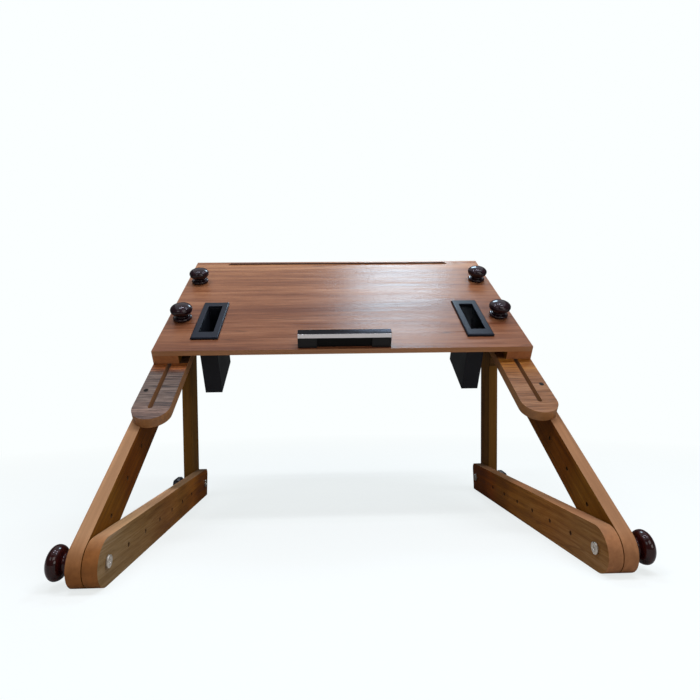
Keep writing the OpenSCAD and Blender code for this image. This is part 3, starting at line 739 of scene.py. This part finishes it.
class LaptopTableColours(bpy.types.PropertyGroup):
    """Colours of the finishes"""
    board_dark: colour("Board dark", "Dark grain of the tabletop", (0.120, 0.034, 0.013))
    board_mid: colour("Board middle", "Main colour of the tabletop", (0.200, 0.066, 0.024))
    board_light: colour("Board light", "Pale grain of the tabletop", (0.290, 0.112, 0.046))
    board_edge: colour("Board edge", "Lipping of the tabletop", (0.380, 0.175, 0.080))
    rail: colour("Rail", "Spacer rails under the tabletop", (0.370, 0.140, 0.052))
    bar_dark: colour("Bar dark", "Dark grain of bars and legs", (0.130, 0.044, 0.003))
    bar_mid: colour("Bar middle", "Main colour of bars and legs", (0.200, 0.078, 0.008))
    bar_light: colour("Bar light", "Pale grain of bars and legs", (0.275, 0.122, 0.018))
    lipping: colour("Lipping", "Narrow edges of bars", (0.410, 0.206, 0.093))
    plate_edge: colour("Plate edge", "Narrow edges of the slotted plates", (0.330, 0.150, 0.056))
    # the left plate's tones: greyed for wear and for a painted cool sheen
    wear_and_sheen_dark: colour("Worn dark", "Dark grain of the left slotted plate", (0.045, 0.028, 0.024))
    wear_and_sheen_mid: colour("Worn middle", "Main colour of the left slotted plate", (0.115, 0.068, 0.050))
    wear_and_sheen_light: colour("Worn light", "Pale grain of the left slotted plate", (0.210, 0.140, 0.105))
    warm_dark: colour("Warm dark", "Dark grain of the right slotted plate", (0.130, 0.048, 0.015))
    warm_mid: colour("Warm middle", "Main colour of the right slotted plate", (0.240, 0.095, 0.034))
    warm_light: colour("Warm light", "Pale grain of the right slotted plate", (0.340, 0.165, 0.075))
    knob: colour("Knob", "Lacquered clamping knobs", (0.021, 0.0046, 0.0060))
    foot_knob: colour("Foot knob", "Lacquered foot knobs", (0.036, 0.0040, 0.0026))
    pocket: colour("Pocket", "Plastic of the phone pockets", (0.010, 0.012, 0.018))
    stopper: colour("Stopper", "Plastic of the laptop stopper", (0.0075, 0.0075, 0.0085))
    chrome: colour("Chrome", "Strip on the stopper", (0.92, 0.91, 0.95))
    # a painted dark reflection on the top of the stopper's strip
    strip_reflection: colour("Smoke", "Darkened top of the stopper's strip", (0.005, 0.0045, 0.010))
    zinc: colour("Zinc", "Bolts and washers", (0.64, 0.60, 0.55))
    bronze: colour("Bronze", "Bronzed hinge leaves", (0.085, 0.042, 0.016))
    dark_steel: colour("Dark steel", "Wood screws", (0.035, 0.030, 0.027))
    brass: colour("Brass", "Threaded inserts", (0.62, 0.42, 0.16))
    cord: colour("Cord", "Elastic cord", (0.095, 0.042, 0.028))


class LaptopTableStage(bpy.types.PropertyGroup):
    """Camera, floor and light"""
    lens: amount("Lens", "Focal length, mm", 26.406, 10.0, 100.0, "DISTANCE_CAMERA")
    lens_rise: amount("Lens rise", "Vertical shift of the lens, in picture widths", -0.04175, -0.2, 0.2)
    lens_side: amount("Lens side", "Sideways shift of the lens, in picture widths", 0.01158, -0.2, 0.2)
    backdrop: colour("Backdrop", "Colour of the floor and backdrop", (0.965, 1.0, 1.0))
    mirrored: amount("Mirrored backdrop", "Share of the backdrop in reflections", 0.05, 0.0, 1.0, "FACTOR")
    ambient: amount("Ambient", "Strength of the sky light", 0.07, 0.0, 10.0)
    ceiling: amount("Ceiling", "Power of the wide ceiling, W", 15.0, 0.0, 1000.0, "POWER")
    key: amount("Key light", "Power of the two overhead tubes, W", 27.0, 0.0, 1000.0, "POWER")
    window: amount("Window light", "Power of the rear lamp, W", 12.0, 0.0, 1000.0, "POWER")
    fill: amount("Fill light", "Power of the front softbox, W", 7.5, 0.0, 1000.0, "POWER")
    spots: amount("Spot lights", "Power of the four thin overhead tubes, W", 9.0, 0.0, 1000.0, "POWER")


# ---- operators ----

class LAPTOPTABLE_OT_stage(bpy.types.Operator):
    """Set the camera, the pale floor and the soft light"""
    bl_idname = "laptop_table.stage"
    bl_label = "Stage"

    def execute(self, context):
        stage = context.scene.laptop_table_stage
        view = bpy.data.cameras.new("studio_camera")
        view.sensor_width = 36.0
        view.lens = stage.lens
        view.shift_x = stage.lens_side
        view.shift_y = stage.lens_rise
        view.clip_end = 200.0
        camera = linked("studio_camera", view)
        back = CAMERA_RIGHT.cross(CAMERA_UP)
        axes = Matrix([axis.normalized() for axis in (CAMERA_RIGHT, back.cross(CAMERA_RIGHT), back)])
        camera.matrix_world = Matrix.Translation(CAMERA_PLACE) @ axes.transposed().to_4x4()
        context.scene.camera = camera
        self.floor(stage)
        self.lamps(stage)
        self.sky(context, stage)
        context.scene.view_settings.view_transform = "Standard"
        return {"FINISHED"}

    def shown(self, graph, stage):
        """1 where the camera or clear material looks straight at it, and a share of that in reflections."""
        path = graph.add("ShaderNodeLightPath").outputs
        straight = graph.math("MAXIMUM", path["Is Camera Ray"], path["Is Transmission Ray"])
        return graph.math("MAXIMUM", straight, graph.times(path["Is Glossy Ray"], stage.mirrored))

    def floor(self, stage):
        """A floor as bright as the backdrop apart from the table's faint shadow, and dim for other rays,
        darker for them under and behind the table as painted shade.
        """
        mesh = bpy.data.meshes.new("studio_floor")
        far = 60.0
        mesh.from_pydata([(-far, -far, 0), (far, -far, 0), (far, far, 0), (-far, far, 0)], [], [(0, 1, 2, 3)])
        floor = linked("studio_floor", mesh)
        look, graph = new_look("pale_floor")
        place = graph.add("ShaderNodeTexCoord").outputs["Object"]
        away = graph.add("ShaderNodeVectorMath", place, operation="LENGTH").outputs["Value"]
        near = graph.remap(away, 0.45, 1.5, 0.24, 0.0)
        matt = graph.add("ShaderNodeBsdfDiffuse", rgba((0.92, 0.95, 0.95)))
        # the floor's tone for bounced light: pale in front of the table, dark from under its front backwards
        # as painted shade
        ahead = graph.remap(graph.split(place)[1], -0.12, 0.30)
        bounce_with_painted_shade = graph.mix(ahead, rgba((0.50, 0.47, 0.43)), rgba((0.10, 0.09, 0.08)))
        dim = graph.add("ShaderNodeBsdfDiffuse", bounce_with_painted_shade)
        bright = graph.add("ShaderNodeEmission", rgba(stage.backdrop), 1.0)
        seen = graph.add("ShaderNodeMixShader", near, bright, matt)
        both = graph.add("ShaderNodeMixShader", self.shown(graph, stage), dim, seen)
        graph.add("ShaderNodeOutputMaterial", both)
        mesh.materials.append(look)

    def lamps(self, stage):
        """The lamps, each with its name, place, aim, size, power and tint."""
        key, fill, spot = stage.key, stage.fill, stage.spots / 4
        lamps = [
            ("ceiling", (0.0, 0.2, 2.2), (0.0, 0.2, 0.0), (3.0, 3.0), stage.ceiling, (0.98, 0.985, 1.0)),
            ("left_tube", (-0.78, -0.48, 2.2), (-0.78, -0.48, 0.0), (0.9, 0.2), key * 0.4, (0.9, 0.96, 1.0)),
            ("right_tube", (0.82, -0.48, 2.2), (0.82, -0.48, 0.0), (1.2, 0.2), key * 0.6, (0.94, 0.97, 1.0)),
            ("front_softbox", (0.7, -1.9, 1.6), (0.0, 0.0, 0.1), (1.2, 0.8), fill, (1.0, 0.98, 0.95)),
            ("low_softbox", (1.1, -1.6, 0.5), (0.1, 0.0, 0.1), (0.8, 0.5), fill * 0.5, (1.0, 0.98, 0.95)),
            ("left_softbox", (-0.9, -1.7, 1.3), (0.1, 0.0, 0.1), (0.8, 0.6), fill * 0.35, (0.95, 0.98, 1.0)),
            ("rear_lamp", (0.40, 1.05, 2.1), (0.18, 0.24, 0.4), (0.5, 0.5), stage.window, (0.62, 0.85, 1.0)),
        ]
        for i, (x, y) in enumerate([(-0.62, -0.62), (-0.40, -0.22), (0.45, -0.20), (0.72, -0.66)]):
            lamps.append((f"thin_tube_{i}", (x, y, 2.1), (x, y, 0.0), (0.42, 0.03), spot, (0.8, 0.8, 1.0)))
        for name, place, aim, size, power, tint in lamps:
            light = bpy.data.lights.new(name, "AREA")
            light.shape = "RECTANGLE"
            light.size, light.size_y = size
            light.energy = power
            light.color = tint
            lamp = linked(name, light)
            lamp.location = place
            lamp.rotation_euler = (Vector(aim) - Vector(place)).to_track_quat("-Z", "Y").to_euler()
            lamp.visible_camera = False

    def sky(self, context, stage):
        """A dim sky, as bright as the backdrop for the camera."""
        world = bpy.data.worlds.new("studio_sky")
        context.scene.world = world
        world.use_nodes = True
        graph = Graph(world.node_tree)
        dim = graph.add("ShaderNodeBackground", rgba((0.95, 0.98, 1.0)), stage.ambient)
        bright = graph.add("ShaderNodeBackground", rgba(stage.backdrop), 1.0)
        both = graph.add("ShaderNodeMixShader", self.shown(graph, stage), dim, bright)
        graph.add("ShaderNodeOutputWorld", both)


class LAPTOPTABLE_OT_boards(bpy.types.Operator):
    """Dress the tabletop and its side rails"""
    bl_idname = "laptop_table.boards"
    bl_label = "Tabletop and rails"

    def execute(self, context):
        ease = context.scene.laptop_table_sizes.board_ease
        eased_copy("tabletop", "tabletop_board", "board", ease, "table", "board")
        for side in SIDES:
            eased_copy(f"side_rail_{side}", f"spacer_rail_{side}", "rail", ease, "table", "rails")
        return {"FINISHED"}


class LAPTOPTABLE_OT_frames(bpy.types.Operator):
    """Dress the slotted plates, long bars, base bars and rear legs"""
    bl_idname = "laptop_table.frames"
    bl_label = "Side frames"

    def execute(self, context):
        ease = context.scene.laptop_table_sizes.bar_ease
        for side in SIDES:
            for node, name, look, body in (
                ("slide_plate", "slotted_plate", f"plate_{side}", "frame"),
                ("long_bar", "long_side_bar", f"long_bar_{side}", "frame"),
                ("base_bar", "ground_bar", f"base_bar_{side}", "base"),
                ("rear_leg", "prop_leg", "leg", "leg"),
            ):
                eased_copy(f"{node}_{side}", f"{name}_{side}", look, ease, f"{body}_{side}", "bars")
        return {"FINISHED"}


class LAPTOPTABLE_OT_knobs(bpy.types.Operator):
    """Turn the six lacquered knobs and dress the two small ones"""
    bl_idname = "laptop_table.knobs"
    bl_label = "Knobs"

    # in millimetres: the profile, the hollow over its ring, the insert's pocket, and the small knobs' ease
    CAP, NECK, RING, BASE, HEIGHT = 18.5, 10.0, 16.0, 5.5, 28.0
    HOLLOW, HOLLOW_H, FLARE = 1.5, 2, 4.2
    INSERT, INSERT_DEEP = 4.5, 14.05
    SMALL_EASE = 0.5

    def profile(self):
        """Radius and height of the turned profile, from the insert's pocket out, up and in to the crown."""
        def arc(cx, cz, rx, rz, start, end, steps=14):
            turns = [math.radians(start + (end - start) * i / steps) for i in range(steps + 1)]
            return [(cx + rx * math.cos(t), cz + rz * math.sin(t)) for t in turns]
        half = self.BASE / 2
        brim = self.HEIGHT * 0.66
        line = [(0.0, self.INSERT_DEEP), (self.INSERT, self.INSERT_DEEP), (self.INSERT, 0.0)]
        line += arc(self.RING - half, half, half, half, -90, 90)
        line += arc(self.NECK + self.HOLLOW, self.BASE + self.HOLLOW_H, self.HOLLOW, self.HOLLOW_H, 250, 110)
        line += arc(self.NECK, brim, self.CAP - self.NECK, brim - self.BASE - self.FLARE, -80, 0)
        line += arc(0, brim, self.CAP, self.HEIGHT - brim, 5, 90, 24)
        return [(r * MM, 0.0, h * MM) for r, h in line]

    def execute(self, context):
        tree = lathe_tree()
        for side in SIDES:
            sign = SIGN[side]
            for where, node, look, turn in (
                ("front", f"clamp_knob_front_{side}", "knob", (TILT, 0, 0)),
                ("rear", f"clamp_knob_rear_{side}", "knob", (TILT, 0, 0)),
                ("foot", f"foot_knob_{side}", "foot_knob", (0, math.radians(90 * sign), 0)),
            ):
                place = Vector(joint(node.replace("knob", "knob_turn"))["pos_m"])
                if where == "foot":
                    place.x = sign * FOOT_KNOB_X
                else:
                    place += SQUARE * KNOB_STAND
                carrier = outline_object(f"{where}_profile", self.profile())
                knob = run_tree(tree, carrier, f"turned_knob_{where}_{side}", LOOKS[look], {
                    "Steps Round": 96, "Steps Along": 200, "Place": tuple(place), "Turn": turn})
                close_up(knob.data, 50)
                settle(knob, node, "knob_wood", node)
            node = f"leg_knob_{side}"
            ease = self.SMALL_EASE
            eased_copy(node, f"lobed_knob_{side}", "small_knob", ease, node, "small_knob_plastic", 2)
            dress("brass", f"clamp_insert_front_{side}", f"clamp_insert_rear_{side}", f"foot_insert_{side}")
        return {"FINISHED"}


class LAPTOPTABLE_OT_pockets(bpy.types.Operator):
    """Dress the phone pockets: their frames and boxes"""
    bl_idname = "laptop_table.pockets"
    bl_label = "Phone pockets"

    def execute(self, context):
        ease = context.scene.laptop_table_sizes.plastic_ease
        for side in SIDES:
            for node, name in (("pocket_frame", "pocket_rim"), ("pocket_box", "pocket_well")):
                eased_copy(f"{node}_{side}", f"{name}_{side}", node, ease, "table", "pocket_plastic")
        return {"FINISHED"}


class LAPTOPTABLE_OT_stopper(bpy.types.Operator):
    """Dress the laptop stopper: its black body and chrome strip"""
    bl_idname = "laptop_table.stopper"
    bl_label = "Laptop stopper"

    def execute(self, context):
        sizes = context.scene.laptop_table_sizes
        eased_copy("stopper_body", "stopper_core", "stopper", sizes.plastic_ease, "table", "stopper_plastic")
        eased_copy("stopper_strip", "stopper_trim", "chrome", sizes.metal_ease, "table", "stopper_chrome")
        return {"FINISHED"}


class LAPTOPTABLE_OT_cord(bpy.types.Operator):
    """Lay the elastic cord through its two holes and tie its ends"""
    bl_idname = "laptop_table.cord"
    bl_label = "Retaining cord"

    def half(self):
        """Across and above the board, from the knot up the hole and round to the surface."""
        line = [(CORD_X, -BOARD_T - CORD_END), (CORD_X, -BOARD_T), (CORD_X, CORD_LIE - CORD_BEND - 2 * MM)]
        for i in range(9):
            turn = math.radians(90 * i / 8)
            line.append((CORD_X - CORD_BEND + CORD_BEND * math.cos(turn),
                         CORD_LIE - CORD_BEND + CORD_BEND * math.sin(turn)))
        line += [((1 - i / 24) * CORD_X * 0.96, CORD_LIE) for i in range(1, 24)]
        return line

    def knot(self, x):
        """An overhand knot, as the closed middle of a trefoil, under the hole at x."""
        loop, weave, below = 0.92 * MM, 1.2 * MM, BOARD_T + 3.6 * MM
        points = []
        for i in range(97):
            t = math.tau * i / 96
            points.append(on_board(
                x + (math.sin(t) + 2 * math.sin(2 * t)) * loop,
                CORD_U + (math.cos(t) - 2 * math.cos(2 * t)) * loop,
                -below - math.sin(3 * t) * weave))
        return points

    def tube(self, tree, name, route, radius, sides):
        """The tree's round cord along a route, as a piece."""
        carrier = outline_object(name + "_route", route)
        piece = run_tree(tree, carrier, name, LOOKS["cord"], {"Radius": radius, "Sides": sides})
        close_up(piece.data, 60)
        return piece

    def execute(self, context):
        radius = context.scene.laptop_table_sizes.cord_width * MM / 2
        tree = cord_tree()
        half = self.half()
        route = [on_board(x, CORD_U, v) for x, v in half]
        route += [on_board(-x, CORD_U, v) for x, v in reversed(half)]
        cord = self.tube(tree, "elastic_cord", route, radius, 16)
        settle(cord, "table", "cord", "retaining_cord")
        for side in SIDES:
            knot = self.tube(tree, f"cord_knot_{side}", self.knot(SIGN[side] * CORD_X), radius * 0.92, 12)
            settle(knot, "table", "cord", "cord_knots")
        return {"FINISHED"}


class LAPTOPTABLE_OT_screws(bpy.types.Operator):
    """Set the countersunk screws of the rails, the stopper and the plates"""
    bl_idname = "laptop_table.screws"
    bl_label = "Wood screws"

    def execute(self, context):
        tree = screw_tree()
        under = -BOARD_T - RAIL_T
        up = (TILT + math.pi, 0, 0)
        down = (TILT, 0, 0)
        rails = [on_board(SIGN[side] * BAR_X, u, under) for side in SIDES for u in RAIL_SCREWS_U]
        self.row(tree, "rail_screw_row", rails, up, RAIL_SCREW, "table", "rail_screws", "zinc")
        feet = [on_board(SIGN[side] * STOPPER_SCREW_X, STOPPER_SCREW_U, -BOARD_T) for side in SIDES]
        self.row(tree, "stopper_screw_pair", feet, up, STOPPER_SCREW, "table", "stopper_screws", "zinc")
        for side in SIDES:
            tops = [on_board(SIGN[side] * BAR_X, u, under - PLATE_GAP) for u in PLATE_SCREWS_U]
            self.row(tree, f"plate_screw_row_{side}", tops, down, PLATE_SCREW, f"frame_{side}",
                     f"plate_screws_{side}", "dark_steel")
        return {"FINISHED"}

    def row(self, tree, name, places, turn, length, body, node, look):
        """Like screws in one piece."""
        carrier = points_object(name + "_points", places)
        piece = run_tree(tree, carrier, name, LOOKS[look], {"Length": length, "Turn": turn})
        smooth_by_angle(piece.data, 30)
        settle(piece, body, "steel", node)


class LAPTOPTABLE_OT_metalwork(bpy.types.Operator):
    """Dress the bolts, washers and strap hinges"""
    bl_idname = "laptop_table.metalwork"
    bl_label = "Bolts and hinges"

    LEAF_EASE = 0.2

    def execute(self, context):
        ease = context.scene.laptop_table_sizes.metal_ease
        eased_copy("clamp_bolts", "carriage_bolts", "zinc", ease, "table", "steel")
        dress("zinc", "clamp_washers")
        for side in SIDES:
            for node, name, body in (
                ("pivot_bolt", "pivot_socket_bolt", "frame"),
                ("leg_bolt", "leg_socket_bolt", "base"),
                ("hinge_upper_leaf", "upper_hinge_leaf", "frame"),
                ("hinge_lower_leaf", "lower_hinge_leaf", "leg"),
            ):
                look, width = ("zinc", ease) if "bolt" in node else ("bronze", self.LEAF_EASE)
                eased_copy(f"{node}_{side}", f"{name}_{side}", look, width, f"{body}_{side}", "steel", 2)
            dress("zinc", f"pivot_washers_{side}", f"leg_washers_{side}", f"leg_stud_{side}")
            dress("bronze", f"hinge_pin_{side}", f"hinge_upper_screws_{side}", f"hinge_lower_screws_{side}")
        return {"FINISHED"}


class LAPTOPTABLE_PT_sidebar(bpy.types.Panel):
    """Buttons that dress each group of pieces"""
    bl_idname = "LAPTOPTABLE_PT_sidebar"
    bl_label = "Laptop Table"
    bl_space_type = "VIEW_3D"
    bl_region_type = "UI"
    bl_category = "Laptop Table"

    def draw(self, context):
        for kind in OPERATORS:
            self.layout.operator(kind.bl_idname)


OPERATORS = (
    LAPTOPTABLE_OT_stage,
    LAPTOPTABLE_OT_cord,
    LAPTOPTABLE_OT_boards,
    LAPTOPTABLE_OT_frames,
    LAPTOPTABLE_OT_knobs,
    LAPTOPTABLE_OT_pockets,
    LAPTOPTABLE_OT_stopper,
    LAPTOPTABLE_OT_screws,
    LAPTOPTABLE_OT_metalwork,
)
CLASSES = (LaptopTableSizes, LaptopTableColours, LaptopTableStage, *OPERATORS, LAPTOPTABLE_PT_sidebar)
GROUPS = {
    "laptop_table_sizes": LaptopTableSizes,
    "laptop_table_colours": LaptopTableColours,
    "laptop_table_stage": LaptopTableStage,
}


def register():
    """Makes the classes and the scene's settings known to Blender."""
    for kind in CLASSES:
        bpy.utils.register_class(kind)
    for name, kind in GROUPS.items():
        setattr(bpy.types.Scene, name, bpy.props.PointerProperty(type=kind))


def unregister():
    """Takes them away again."""
    for name in GROUPS:
        delattr(bpy.types.Scene, name)
    for kind in reversed(CLASSES):
        bpy.utils.unregister_class(kind)


def main():
    """Dresses the table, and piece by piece."""
    register()
    make_looks(bpy.context.scene.laptop_table_colours)
    for kind in OPERATORS:
        group, name = kind.bl_idname.split(".")
        getattr(getattr(bpy.ops, group), name)()


if __name__ == "__main__":
    main()
